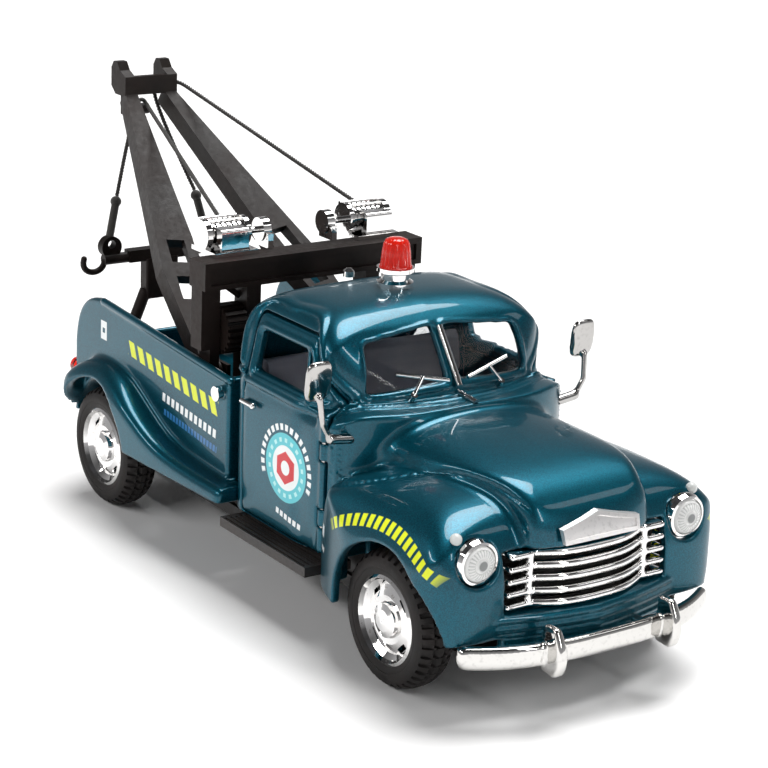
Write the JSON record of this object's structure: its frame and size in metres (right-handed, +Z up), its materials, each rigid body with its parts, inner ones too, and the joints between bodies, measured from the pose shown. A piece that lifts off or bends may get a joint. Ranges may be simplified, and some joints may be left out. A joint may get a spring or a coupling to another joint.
{
  "type": "toy tow truck",
  "caption": "Diecast toy pickup tow truck with a rear twin-boom crane, winches, tow sling, opening doors and a pull-back rolling chassis.",
  "frame": {"origin": "middle of the truck's outline on the surface that the tyres stand on", "axes": "+X forward, +Y to the vehicle's left, +Z up"},
  "size_m": [0.1284, 0.0488, 0.0645],
  "materials": {
    "body_paint": "deep metallic teal enamel, gloss",
    "chrome": "vacuum-plated plastic, bright",
    "steel": "plain steel wire, satin",
    "window_glass": "clear moulded plastic",
    "clear_lens": "clear fluted plastic",
    "red_lens": "translucent red plastic",
    "tail_lens": "plated lamp body",
    "seat_plastic": "grey moulded plastic, grained",
    "chassis_plastic": "black moulded plastic, grained",
    "crane_plastic": "black-brown plastic, satin",
    "thread": "twisted black thread",
    "tyre": "dark rubber, matte",
    "brass": "sintered brass pinion",
    "nylon": "natural nylon",
    "spring_steel": "blued spring steel"
  },
  "bodies": {
    "root": {"cab_body": "body_paint", "bed_body": "body_paint", "tailgate": "body_paint", "windshield_divider": "chrome", "wipers": "chrome", "grille": "chrome", "headlight_rings": "chrome", "front_bumper": "chrome", "nose_badge": "chrome", "hood_ornament": "chrome", "side_mirrors": "chrome", "beacon_base": "chrome", "roof_stud": "chrome", "filler_cap": "chrome", "winch_right": "chrome", "winch_left": "chrome", "hinge_pins": "steel", "chassis_screws": "steel", "windshield_glass": "window_glass", "rear_glass": "window_glass", "headlight_lenses": "clear_lens", "parking_lamps": "clear_lens", "beacon_dome": "red_lens", "tail_lamps": "tail_lens", "interior_tub": "seat_plastic", "inside_mirror": "seat_plastic", "steering_wheel": "seat_plastic", "running_boards": "chassis_plastic", "chassis_base": "chassis_plastic", "grille_backing": "chassis_plastic", "motor_case": "chassis_plastic", "crane_deck": "crane_plastic", "mast_frame": "crane_plastic", "boom_right": "crane_plastic", "boom_left": "crane_plastic", "boom_head": "crane_plastic", "drum_gear_right": "crane_plastic", "drum_gear_left": "crane_plastic", "tow_sling": "crane_plastic", "thread_links": "crane_plastic", "tow_thread_right": "thread", "tow_thread_left": "thread"},
    "door_right_body": {"door_right": "body_paint", "door_handle_right": "chrome"},
    "door_left_body": {"door_left": "body_paint", "door_handle_left": "chrome"},
    "front_wheelset": {"front_axle": "steel", "rim_front_right": "chrome", "rim_front_left": "chrome", "tyre_front_right": "tyre", "tyre_front_left": "tyre"},
    "rear_wheelset": {"rear_axle": "steel", "axle_gear": "brass", "rim_rear_right": "chrome", "rim_rear_left": "chrome", "tyre_rear_right": "tyre", "tyre_rear_left": "tyre"},
    "idler": {"idler_gear": "nylon"},
    "spring_arbor": {"spring_gear": "nylon", "mainspring": "spring_steel"}
  },
  "joints": [
    {"name": "door_right_hinge", "type": "hinge", "parent": "root", "child": "door_right_body", "pos_m": [0.0234, -0.0193, 0.0215], "axis": [0, 0, 1], "range_deg": [0, 65]},
    {"name": "door_left_hinge", "type": "hinge", "parent": "root", "child": "door_left_body", "pos_m": [0.0234, 0.0193, 0.0215], "axis": [0, 0, -1], "range_deg": [0, 65]},
    {"name": "front_axle_spin", "type": "hinge", "parent": "root", "child": "front_wheelset", "pos_m": [0.042, 0, 0.0094], "axis": [0, 1, 0], "continuous": true},
    {"name": "rear_axle_spin", "type": "hinge", "parent": "root", "child": "rear_wheelset", "pos_m": [-0.0355, 0, 0.0094], "axis": [0, 1, 0], "continuous": true},
    {"name": "idler_spin", "type": "hinge", "parent": "root", "child": "idler", "pos_m": [-0.0295, 0, 0.0094], "axis": [0, 1, 0], "continuous": true},
    {"name": "spring_arbor_spin", "type": "hinge", "parent": "root", "child": "spring_arbor", "pos_m": [-0.0219, 0, 0.0094], "axis": [0, 1, 0], "continuous": true}
  ],
  "couplings": [
    {"joint": "idler_spin", "follows": "rear_axle_spin", "ratio": -0.66667},
    {"joint": "spring_arbor_spin", "follows": "rear_axle_spin", "ratio": 0.6}
  ]
}
